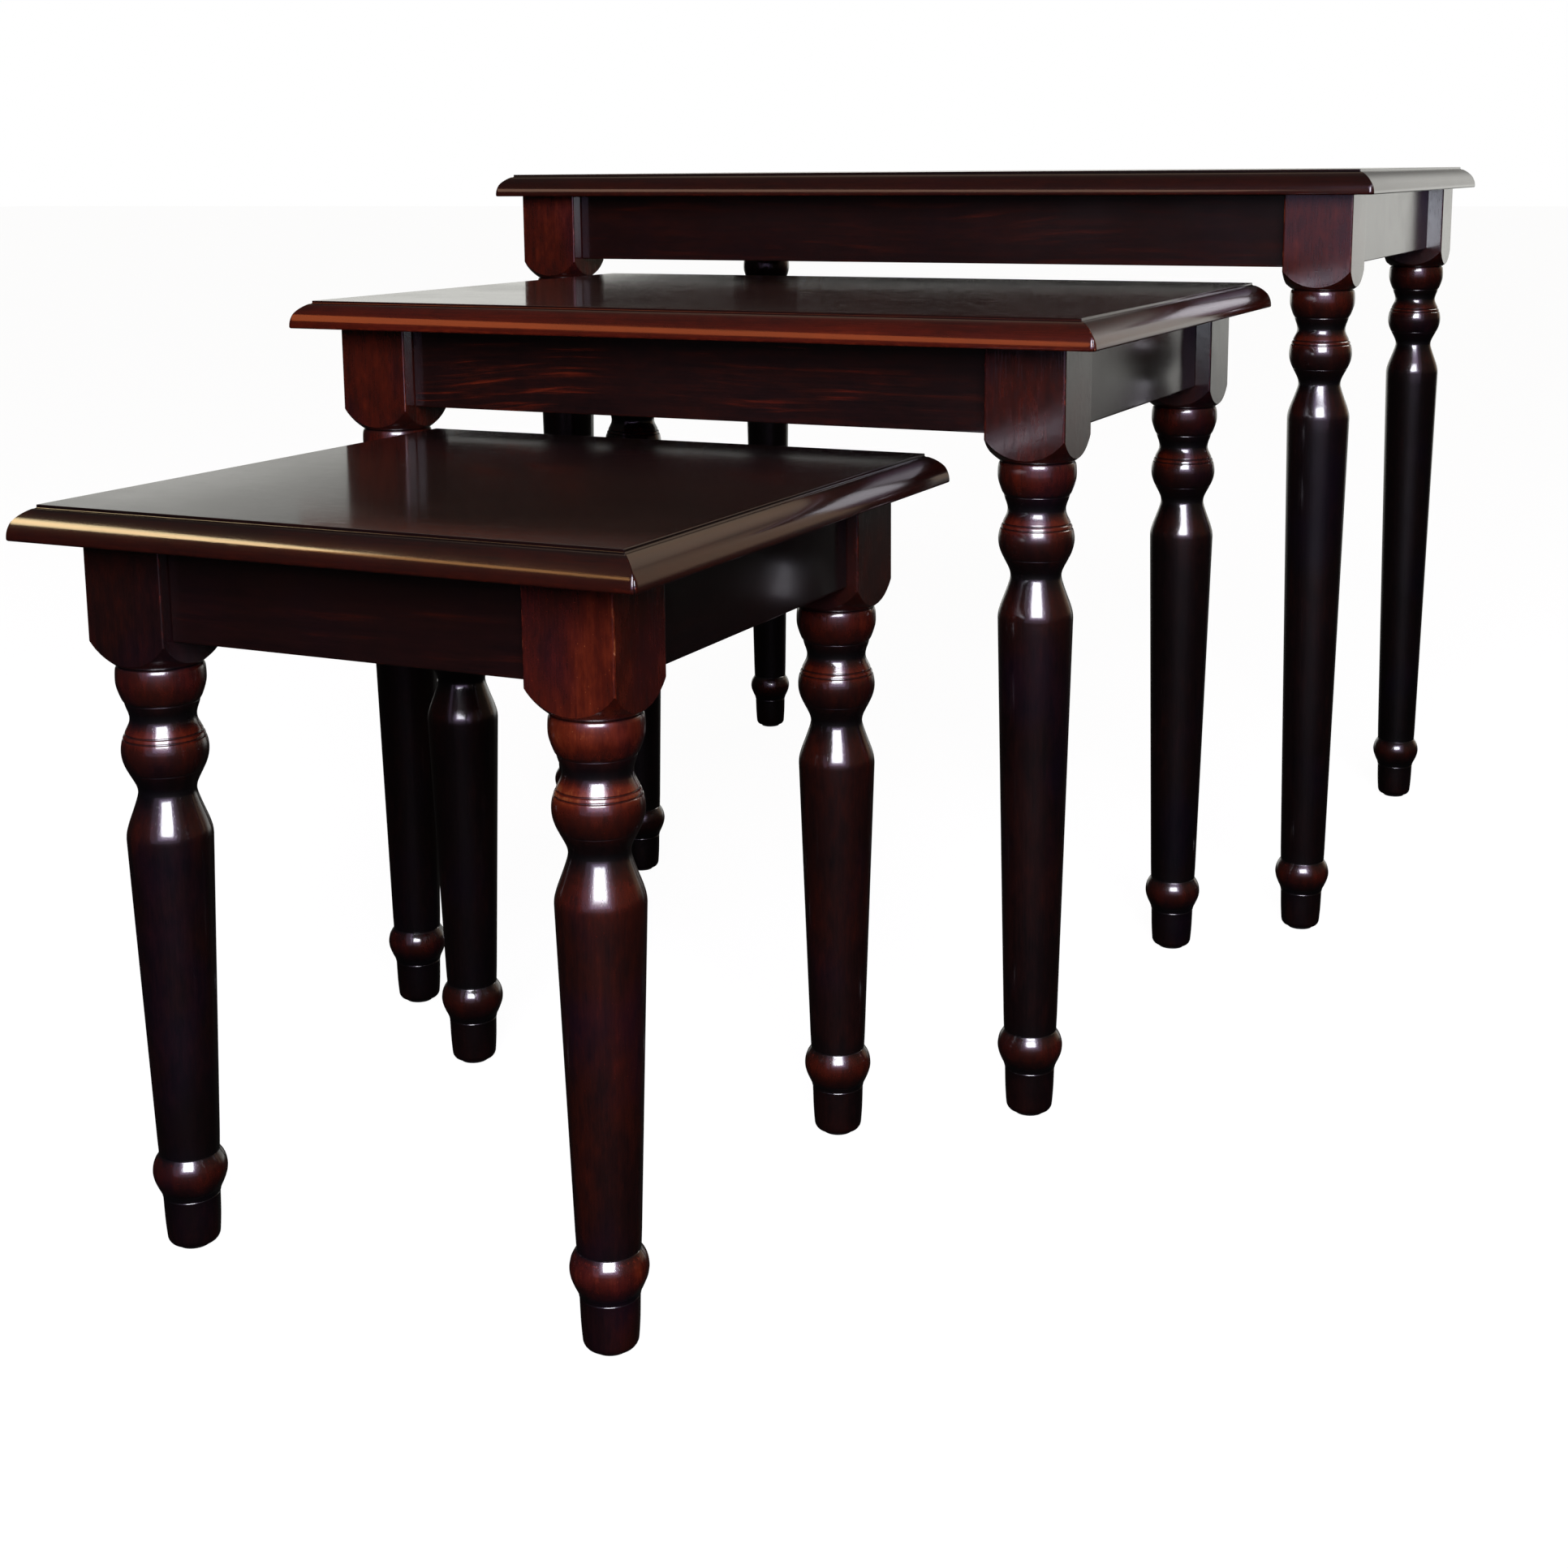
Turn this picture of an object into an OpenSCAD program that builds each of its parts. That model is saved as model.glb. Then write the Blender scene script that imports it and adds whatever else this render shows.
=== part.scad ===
// Nest of three turned-leg tables, pulled out from one another.
// Each table is a flat top panel with four mitred edge mouldings, four turned
// legs with square heads, four apron rails and bolted corner braces.
// X runs along the long sides, Y from the small table to the large one, Z up.
// The origin is on the floor, at the middle of the whole set's footprint.

/* [Large table] */
// Length of the large top
large_w = 735; // [680:1:900]
// Depth of the large top
large_d = 483; // [470:1:600]
// Height of the large table
large_h = 580; // [575:1:700]
// Overhang of the large top past its leg heads
large_overhang = 17; // [15:1:30]
// Setback of the large aprons behind the leg heads
large_setback = 13; // [5:1:14]

/* [Medium table] */
// Length of the medium top
medium_w = 560; // [520:1:565]
// Depth of the medium top
medium_d = 427; // [400:1:440]
// Height of the medium table
medium_h = 499; // [494:1:503]
// Overhang of the medium top past its leg heads
medium_overhang = 25; // [15:1:30]
// Setback of the medium aprons behind the leg heads
medium_setback = 11; // [5:1:14]

/* [Small table] */
// Length of the small top
small_w = 370; // [330:1:375]
// Depth of the small top
small_d = 384; // [340:1:400]
// Height of the small table
small_h = 417; // [380:1:421]
// Overhang of the small top past its leg heads
small_overhang = 27; // [20:1:30]
// Setback of the small aprons behind the leg heads
small_setback = 7; // [5:1:14]

/* [Arrangement] */
// How far the medium table stands out from under the large one
medium_pull = 418; // [405:1:480]
// How far the small table stands out from under the medium one
small_pull = 357; // [345:1:420]
// Sideways offset of the medium table from the large one
medium_shift = 16; // [-16:1:16]
// Sideways offset of the small table from the medium one
small_shift = -1; // [-10:1:10]

/* [Tops] */
// Thickness of the tops
top_t = 18; // [16:0.5:22]
// Width of the edge moulding
mould_w = 12; // [11:0.5:14]
// Step from the moulding up to the face of the panel
quirk_h = 1.3; // [0.8:0.1:3]
// Depth of the tongue that holds the moulding to the panel
tongue_d = 5; // [3:0.5:8]
// Thickness of the tongue
tongue_t = 4; // [3:0.5:5]

/* [Legs] */
// Side of the square leg head
head_b = 50; // [48:0.5:52]
// Depth of the leg head from the top's underside to the collar
head_h = 69; // [67:0.5:71]
// Height of the rounded shoulder cut on the leg head
pommel_h = 15; // [13:0.5:17]

/* [Aprons] */
// Height of the apron rails
apron_h = 53; // [48:1:54]
// Thickness of the apron rails
apron_t = 18; // [15:0.5:20]

/* [Corner fixings] */
// Thickness of the wooden corner braces
brace_t = 20; // [16:1:22]
// Height of the corner braces
brace_h = 44; // [40:1:46]
// Flat cut on the inner arris of a leg head, for the brace
flat_c = 8; // [6:0.5:10]
// Radius of the hanger bolts
bolt_r = 3; // [2.5:0.5:4]
// Depth of the hanger bolt in the leg
bolt_in = 28; // [20:1:30]
// Thickness of the glides under the feet
glide_t = 2; // [1.5:0.5:3]
// Radius of the glides
glide_r = 9; // [7:0.5:10]

/* [Hidden] */
$fn = 64;
S = 0;
M = 1;
L = 2;
W = [small_w, medium_w, large_w];
D = [small_d, medium_d, large_d];
H = [small_h, medium_h, large_h];
OV = [small_overhang, medium_overhang, large_overhang];
SB = [small_setback, medium_setback, large_setback];
// Underside of each top
function U(i) = H[i] - top_t;
// Height of the moulding where it meets the panel
mould_h = top_t - quirk_h;
// Middle of each table in the shared frame
total_d = small_pull + medium_pull + large_d;
CX = [medium_shift + small_shift, medium_shift, 0];
CY = [small_d/2 - total_d/2,
      small_pull + medium_d/2 - total_d/2,
      small_pull + medium_pull + large_d/2 - total_d/2];
// Leg axis, from the middle of the table
function ax(i) = W[i]/2 - OV[i] - head_b/2;
function ay(i) = D[i]/2 - OV[i] - head_b/2;
// Inner face of the aprons and outer plane of the braces, measured from a
// corner of the leg frame
function inner(i) = SB[i] + apron_t;
plane_c = 2*head_b - flat_c;
bolt_z = 23;
nut_h = 5;
washer_h = 1.6;
// Which way each corner faces: front left, front right, back right, back left
FL = 0;
FR = 1;
BR = 2;
BL = 3;
// Colours
dark_top = [0.10, 0.05, 0.045];
moulding = [0.26, 0.10, 0.07];
mahogany = [0.24, 0.08, 0.055];
rail = [0.17, 0.065, 0.05];
raw_wood = [0.62, 0.46, 0.30];
steel = [0.70, 0.71, 0.72];
nylon = [0.12, 0.12, 0.12];

// Turned profile below the leg head: [depth under the top, radius]
upper_pts = [
    [head_h, 21.6], [head_h + 1.2, 22.7], [head_h + 3.5, 23.3], [77.5, 23.5],
    [81, 23.1], [85, 21.9], [88.5, 20.5], [89.5, 19.8], [92.5, 18.9],
    [95, 18], [98, 17.4], [101, 17.8], [104, 19.2], [108, 21.1], [112, 22.3],
    [116, 22.8], [120, 22.5], [124, 21.4], [128, 19.6], [132, 17.5],
    [135.5, 15.9], [138.5, 15.3], [141, 15.6], [144, 16.5], [148, 17.9],
    [152, 19.4], [156, 20.9], [160, 22.1], [162.5, 22.55], [165, 22.7]];
// Turned profile of the ring and foot: [height over the floor, radius]
lower_pts = [
    [54.5, 16.4], [53.5, 16.9], [51, 18.5], [48, 19.6], [44, 20.1],
    [40, 19.5], [36, 18], [33, 16.6], [31, 15.8], [30, 15.7],
    [29, 15.4], [16, 15], [6, 14.3], [4, 13.8], [2.6, 12.8]];

// A smooth curve through a list of points, with n steps between each two
function at(p, k) = p[max(0, min(len(p) - 1, k))];
function curve_pt(a, b, c, d, t) =
    0.5*(2*b + (c - a)*t + (2*a - 5*b + 4*c - d)*t*t
         + (3*b - a - 3*c + d)*t*t*t);
function curve(p, n) = [
    for (k = [0 : len(p) - 2], s = [0 : n - 1])
        curve_pt(at(p, k - 1), p[k], p[k + 1], at(p, k + 2), s/n),
    p[len(p) - 1]];

// Places a piece of table i in the shared frame
module table(i) {
    translate([CX[i], CY[i], 0]) children();
}

// Places a piece drawn for the front left leg frame corner, whose inside
// is towards +X and +Y, at corner k of table i
module corner(i, k) {
    x = W[i]/2 - OV[i];
    y = D[i]/2 - OV[i];
    if (k == FL) translate([-x, -y, 0]) children();
    if (k == FR) translate([x, -y, 0]) mirror([1, 0, 0]) children();
    if (k == BR) translate([x, y, 0]) rotate([0, 0, 180]) children();
    if (k == BL) translate([-x, y, 0]) mirror([0, 1, 0]) children();
}

module all_corners(i) {
    for (k = [FL, FR, BR, BL]) corner(i, k) children();
}

// Points along the diagonal of a corner, out of the leg and into the room
// under the top, at distance d from the outer corner of the leg head
module on_diagonal(d, z) {
    translate([d/sqrt(2), d/sqrt(2), z]) rotate([0, 0, 45]) rotate([0, 90, 0])
        children();
}

// ---- top ----

// Section of the edge moulding, with its nose at x = 0: a small rounded
// lower edge, a long slanted ovolo, a small cove and a tongue
function mould_section() = concat(
    [[mould_w, 0], [1.2, 0]],
    [for (a = [15 : 15 : 75]) [1.2 - 1.2*sin(a), 1.2 - 1.2*cos(a)]],
    [for (a = [0 : 7.5 : 90])
        [10.4 - 10.4*cos(a), 1.2 + (mould_h - 2)*(sin(a)/2 + a/180)]],
    [for (a = [30 : 30 : 90])
        [10.4 + (mould_w - 10.4)*sin(a), mould_h - 0.8*cos(a)]],
    [[mould_w, top_t/2 + tongue_t/2],
     [mould_w + tongue_d, top_t/2 + tongue_t/2],
     [mould_w + tongue_d, top_t/2 - tongue_t/2],
     [mould_w, top_t/2 - tongue_t/2]]);

// A mitred strip of moulding, len long outside, with its outer face on the
// line y = 0 and its body towards +Y, centred on x = 0
module strip(len) {
    m = mould_w + tongue_d + 1;
    intersection() {
        rotate([90, 0, 90]) translate([0, 0, -len/2])
            linear_extrude(height = len) polygon(mould_section());
        translate([0, 0, -1]) linear_extrude(height = top_t + 2)
            polygon([[-len/2, 0], [len/2, 0], [len/2 - m, m], [m - len/2, m]]);
    }
}

module front_strip(i) {
    translate([0, -D[i]/2, U(i)]) strip(W[i]);
}

module side_strip(i) {
    translate([-W[i]/2, 0, U(i)]) rotate([0, 0, -90]) strip(D[i]);
}

module panel(i) {
    w = W[i] - 2*mould_w;
    d = D[i] - 2*mould_w;
    difference() {
        translate([-w/2, -d/2, U(i)]) cube([w, d, top_t]);
        // groove for the tongues, all round
        difference() {
            translate([-w/2 - 1, -d/2 - 1, U(i) + top_t/2 - tongue_t/2])
                cube([w + 2, d + 2, tongue_t]);
            translate([tongue_d - w/2, tongue_d - d/2, U(i)])
                cube([w - 2*tongue_d, d - 2*tongue_d, top_t]);
        }
        // pilot holes for the top screws
        all_corners(i) top_screw_spots()
            translate([0, 0, U(i) - 1]) cylinder(r = 2.1, h = 12);
    }
}

// ---- legs ----

// Outline that rounds the lower end of the square leg head
function pommel(u) = concat(
    [[0, u + 1], [40, u + 1], [40, u - head_h + pommel_h]],
    [for (t = [0 : 0.125 : 1])
        [head_b/2 + 10.5 - 13*t + 4.4*t*(1 - t),
         u - head_h + pommel_h - pommel_h*t - 3*t*(1 - t)]],
    [[0, u - head_h]]);

function turned_outline(u) = concat(
    [[0, u - head_h]],
    [for (p = curve(upper_pts, 2)) [p[1], u - p[0]]],
    [for (p = curve(lower_pts, 2)) [p[1], p[0]]],
    [[11.5, glide_t], [0, glide_t]]);

// A leg for the front left corner, standing on its glide, with the outer
// corner of its head on the Z axis
module leg(i) {
    u = U(i);
    difference() {
        translate([head_b/2, head_b/2, 0]) union() {
            intersection() {
                translate([-head_b/2, -head_b/2, u - head_h])
                    cube([head_b, head_b, head_h]);
                rotate_extrude() polygon(pommel(u));
            }
            rotate_extrude() polygon(turned_outline(u));
        }
        // flat on the inner arris for the corner brace
        translate([0, 0, u - brace_h]) linear_extrude(height = brace_h + 1)
            polygon([[plane_c - head_b, head_b], [head_b, plane_c - head_b],
                     [head_b + 5, head_b + 5]]);
        // hole for the hanger bolt
        on_diagonal(plane_c/sqrt(2) - bolt_in, u - bolt_z)
            cylinder(r = bolt_r + 0.1, h = bolt_in + 5);
        // hole for the nail of the glide
        translate([head_b/2, head_b/2, 0]) cylinder(r = 1.2, h = 15);
    }
}

// ---- frame ----

module front_apron(i) {
    w = W[i] - 2*OV[i] - 2*head_b;
    difference() {
        translate([-w/2, SB[i] + OV[i] - D[i]/2, U(i) - apron_h])
            cube([w, apron_t, apron_h]);
        for (k = [FL, FR]) corner(i, k) front_brace_spot(i)
            cylinder(r = 2.1, h = 12);
    }
}

module side_apron(i) {
    d = D[i] - 2*OV[i] - 2*head_b;
    difference() {
        translate([SB[i] + OV[i] - W[i]/2, -d/2, U(i) - apron_h])
            cube([apron_t, d, apron_h]);
        for (k = [FL, BL]) corner(i, k) side_brace_spot(i)
            cylinder(r = 2.1, h = 12);
    }
}

// Where the brace screws enter the aprons: Z runs into the apron
module front_brace_spot(i) {
    translate([plane_c - inner(i) + 14, inner(i), U(i) - bolt_z])
        rotate([90, 0, 0]) children();
}

module side_brace_spot(i) {
    translate([inner(i), plane_c - inner(i) + 14, U(i) - bolt_z])
        rotate([0, -90, 0]) children();
}

// Where the top screws pass up through a brace
module top_screw_spots() {
    c = plane_c/2 + brace_t/(2*sqrt(2));
    for (s = [-1, 1]) translate([c + 16*s, c - 16*s, 0]) children();
}

module brace(i) {
    a = inner(i);
    t = brace_t*sqrt(2);
    u = U(i);
    difference() {
        translate([0, 0, u - brace_h]) linear_extrude(height = brace_h)
            polygon([[plane_c - a, a], [plane_c + t - a, a],
                     [a, plane_c + t - a], [a, plane_c - a]]);
        on_diagonal(plane_c/sqrt(2) - 5, u - bolt_z)
            cylinder(r = bolt_r + 0.4, h = brace_t + 10);
        top_screw_spots() translate([0, 0, u - brace_h - 1])
            cylinder(r = 2.3, h = brace_h + 2);
        front_brace_spot(i) {
            translate([0, 0, -11]) cylinder(r = 2.3, h = 12);
            translate([0, 0, -40]) cylinder(r = 4.6, h = 30);
        }
        side_brace_spot(i) {
            translate([0, 0, -11]) cylinder(r = 2.3, h = 12);
            translate([0, 0, -40]) cylinder(r = 4.6, h = 30);
        }
    }
}

// ---- fixings ----

module hanger_bolt(i) {
    on_diagonal(plane_c/sqrt(2) - bolt_in, U(i) - bolt_z)
        cylinder(r = bolt_r, h = bolt_in + brace_t + washer_h + nut_h + 5);
}

module washer(i) {
    on_diagonal(plane_c/sqrt(2) + brace_t, U(i) - bolt_z) difference() {
        cylinder(r = 8, h = washer_h);
        translate([0, 0, -1]) cylinder(r = bolt_r + 0.3, h = washer_h + 2);
    }
}

module nut(i) {
    on_diagonal(plane_c/sqrt(2) + brace_t + washer_h, U(i) - bolt_z)
        difference() {
            cylinder(r = 5.77, h = nut_h, $fn = 6);
            translate([0, 0, -1]) cylinder(r = bolt_r + 0.1, h = nut_h + 2);
        }
}

// A pan head screw, tip up, head under z = 0
module screw(len) {
    cylinder(r = 1.9, h = len - 3);
    translate([0, 0, len - 3]) cylinder(r1 = 1.9, r2 = 0.4, h = 3);
    translate([0, 0, -2.2]) cylinder(r = 4, h = 2.2);
}

module top_screw_pair(i) {
    top_screw_spots() translate([0, 0, U(i) - brace_h]) screw(brace_h + 10);
}

module brace_screw_pair(i) {
    front_brace_spot(i) translate([0, 0, -10]) screw(21);
    side_brace_spot(i) translate([0, 0, -10]) screw(21);
}

module glide() {
    translate([head_b/2, head_b/2, 0]) {
        cylinder(r = glide_r, h = glide_t);
        cylinder(r = 1, h = 13);
    }
}

// ---- the pieces of each table ----

module small_top_panel() {
    color(dark_top) table(S) panel(S);
}

module small_edge_front() {
    color(moulding) table(S) front_strip(S);
}

module small_edge_back() {
    color(moulding) table(S) mirror([0, 1, 0]) front_strip(S);
}

module small_edge_left() {
    color(moulding) table(S) side_strip(S);
}

module small_edge_right() {
    color(moulding) table(S) mirror([1, 0, 0]) side_strip(S);
}

module small_leg_front_left() {
    color(mahogany) table(S) corner(S, FL) leg(S);
}

module small_leg_front_right() {
    color(mahogany) table(S) corner(S, FR) leg(S);
}

module small_leg_back_right() {
    color(mahogany) table(S) corner(S, BR) leg(S);
}

module small_leg_back_left() {
    color(mahogany) table(S) corner(S, BL) leg(S);
}

module small_apron_front() {
    color(rail) table(S) front_apron(S);
}

module small_apron_back() {
    color(rail) table(S) mirror([0, 1, 0]) front_apron(S);
}

module small_apron_left() {
    color(rail) table(S) side_apron(S);
}

module small_apron_right() {
    color(rail) table(S) mirror([1, 0, 0]) side_apron(S);
}

module small_corner_braces() {
    color(raw_wood) table(S) all_corners(S) brace(S);
}

module small_hanger_bolts() {
    color(steel) table(S) all_corners(S) hanger_bolt(S);
}

module small_washers() {
    color(steel) table(S) all_corners(S) washer(S);
}

module small_nuts() {
    color(steel) table(S) all_corners(S) nut(S);
}

module small_brace_screws() {
    color(steel) table(S) all_corners(S) brace_screw_pair(S);
}

module small_top_screws() {
    color(steel) table(S) all_corners(S) top_screw_pair(S);
}

module small_glides() {
    color(nylon) table(S) all_corners(S) glide();
}

module medium_top_panel() {
    color(dark_top) table(M) panel(M);
}

module medium_edge_front() {
    color(moulding) table(M) front_strip(M);
}

module medium_edge_back() {
    color(moulding) table(M) mirror([0, 1, 0]) front_strip(M);
}

module medium_edge_left() {
    color(moulding) table(M) side_strip(M);
}

module medium_edge_right() {
    color(moulding) table(M) mirror([1, 0, 0]) side_strip(M);
}

module medium_leg_front_left() {
    color(mahogany) table(M) corner(M, FL) leg(M);
}

module medium_leg_front_right() {
    color(mahogany) table(M) corner(M, FR) leg(M);
}

module medium_leg_back_right() {
    color(mahogany) table(M) corner(M, BR) leg(M);
}

module medium_leg_back_left() {
    color(mahogany) table(M) corner(M, BL) leg(M);
}

module medium_apron_front() {
    color(rail) table(M) front_apron(M);
}

module medium_apron_back() {
    color(rail) table(M) mirror([0, 1, 0]) front_apron(M);
}

module medium_apron_left() {
    color(rail) table(M) side_apron(M);
}

module medium_apron_right() {
    color(rail) table(M) mirror([1, 0, 0]) side_apron(M);
}

module medium_corner_braces() {
    color(raw_wood) table(M) all_corners(M) brace(M);
}

module medium_hanger_bolts() {
    color(steel) table(M) all_corners(M) hanger_bolt(M);
}

module medium_washers() {
    color(steel) table(M) all_corners(M) washer(M);
}

module medium_nuts() {
    color(steel) table(M) all_corners(M) nut(M);
}

module medium_brace_screws() {
    color(steel) table(M) all_corners(M) brace_screw_pair(M);
}

module medium_top_screws() {
    color(steel) table(M) all_corners(M) top_screw_pair(M);
}

module medium_glides() {
    color(nylon) table(M) all_corners(M) glide();
}

module large_top_panel() {
    color(dark_top) table(L) panel(L);
}

module large_edge_front() {
    color(moulding) table(L) front_strip(L);
}

module large_edge_back() {
    color(moulding) table(L) mirror([0, 1, 0]) front_strip(L);
}

module large_edge_left() {
    color(moulding) table(L) side_strip(L);
}

module large_edge_right() {
    color(moulding) table(L) mirror([1, 0, 0]) side_strip(L);
}

module large_leg_front_left() {
    color(mahogany) table(L) corner(L, FL) leg(L);
}

module large_leg_front_right() {
    color(mahogany) table(L) corner(L, FR) leg(L);
}

module large_leg_back_right() {
    color(mahogany) table(L) corner(L, BR) leg(L);
}

module large_leg_back_left() {
    color(mahogany) table(L) corner(L, BL) leg(L);
}

module large_apron_front() {
    color(rail) table(L) front_apron(L);
}

module large_apron_back() {
    color(rail) table(L) mirror([0, 1, 0]) front_apron(L);
}

module large_apron_left() {
    color(rail) table(L) side_apron(L);
}

module large_apron_right() {
    color(rail) table(L) mirror([1, 0, 0]) side_apron(L);
}

module large_corner_braces() {
    color(raw_wood) table(L) all_corners(L) brace(L);
}

module large_hanger_bolts() {
    color(steel) table(L) all_corners(L) hanger_bolt(L);
}

module large_washers() {
    color(steel) table(L) all_corners(L) washer(L);
}

module large_nuts() {
    color(steel) table(L) all_corners(L) nut(L);
}

module large_brace_screws() {
    color(steel) table(L) all_corners(L) brace_screw_pair(L);
}

module large_top_screws() {
    color(steel) table(L) all_corners(L) top_screw_pair(L);
}

module large_glides() {
    color(nylon) table(L) all_corners(L) glide();
}

small_top_panel();
small_edge_front();
small_edge_back();
small_edge_left();
small_edge_right();
small_leg_front_left();
small_leg_front_right();
small_leg_back_right();
small_leg_back_left();
small_apron_front();
small_apron_back();
small_apron_left();
small_apron_right();
small_corner_braces();
small_hanger_bolts();
small_washers();
small_nuts();
small_brace_screws();
small_top_screws();
small_glides();
medium_top_panel();
medium_edge_front();
medium_edge_back();
medium_edge_left();
medium_edge_right();
medium_leg_front_left();
medium_leg_front_right();
medium_leg_back_right();
medium_leg_back_left();
medium_apron_front();
medium_apron_back();
medium_apron_left();
medium_apron_right();
medium_corner_braces();
medium_hanger_bolts();
medium_washers();
medium_nuts();
medium_brace_screws();
medium_top_screws();
medium_glides();
large_top_panel();
large_edge_front();
large_edge_back();
large_edge_left();
large_edge_right();
large_leg_front_left();
large_leg_front_right();
large_leg_back_right();
large_leg_back_left();
large_apron_front();
large_apron_back();
large_apron_left();
large_apron_right();
large_corner_braces();
large_hanger_bolts();
large_washers();
large_nuts();
large_brace_screws();
large_top_screws();
large_glides();
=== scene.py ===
import math

import bpy
import numpy as np
from mathutils import Matrix, Vector


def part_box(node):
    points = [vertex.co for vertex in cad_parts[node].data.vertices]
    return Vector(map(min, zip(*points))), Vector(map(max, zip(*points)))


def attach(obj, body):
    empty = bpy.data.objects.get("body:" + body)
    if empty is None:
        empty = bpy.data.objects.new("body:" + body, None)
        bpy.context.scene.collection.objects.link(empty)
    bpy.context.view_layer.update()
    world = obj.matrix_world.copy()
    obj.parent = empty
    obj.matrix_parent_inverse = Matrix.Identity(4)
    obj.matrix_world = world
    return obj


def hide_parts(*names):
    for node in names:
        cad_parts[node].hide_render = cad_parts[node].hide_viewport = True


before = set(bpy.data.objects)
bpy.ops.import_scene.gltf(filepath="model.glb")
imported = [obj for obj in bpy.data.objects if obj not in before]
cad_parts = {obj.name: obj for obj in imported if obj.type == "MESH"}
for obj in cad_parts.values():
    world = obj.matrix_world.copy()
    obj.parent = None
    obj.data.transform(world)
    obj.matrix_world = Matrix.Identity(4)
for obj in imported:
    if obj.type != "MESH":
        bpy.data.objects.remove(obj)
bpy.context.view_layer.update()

MM = 0.001
TABLES = (
    ("small", "small_table"),
    ("medium", "medium_table"),
    ("large", "large_table"),
)


# ------------------------------------------------------------------
# small helpers
# ------------------------------------------------------------------
def make_object(name, verts, faces, attrs=None, smooth=True, sharp=None):
    """A mesh object at the origin, with its vertices in metres in the frame."""
    mesh = bpy.data.meshes.new(name)
    mesh.from_pydata([tuple(v) for v in verts], [], [tuple(f) for f in faces])
    mesh.update()
    mesh.validate()
    for key, values in (attrs or {}).items():
        a = mesh.attributes.new(key, "FLOAT", "POINT")
        a.data.foreach_set("value", np.asarray(values, np.float32))
    mesh.polygons.foreach_set("use_smooth", [smooth] * len(mesh.polygons))
    if sharp is not None:
        mesh.set_sharp_from_angle(angle=math.radians(sharp))
    obj = bpy.data.objects.new(name, mesh)
    bpy.context.scene.collection.objects.link(obj)
    return obj


def smoothstep(x):
    x = min(1.0, max(0.0, x))
    return x * x * (3 - 2 * x)


def lerp_table(points, x):
    xs = [p[0] for p in points]
    ys = [p[1] for p in points]
    return float(np.interp(x, xs, ys))


def catmull(points, n):
    out = []
    last = len(points) - 1
    for k in range(last):
        p0 = points[max(0, k - 1)]
        p1 = points[k]
        p2 = points[k + 1]
        p3 = points[min(last, k + 2)]
        for s in range(n):
            t = s / n
            out.append(
                tuple(
                    0.5
                    * (
                        2 * b
                        + (c - a) * t
                        + (2 * a - 5 * b + 4 * c - d) * t * t
                        + (3 * b - a - 3 * c + d) * t * t * t
                    )
                    for a, b, c, d in zip(p0, p1, p2, p3)
                )
            )
    out.append(tuple(points[last]))
    return out


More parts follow.
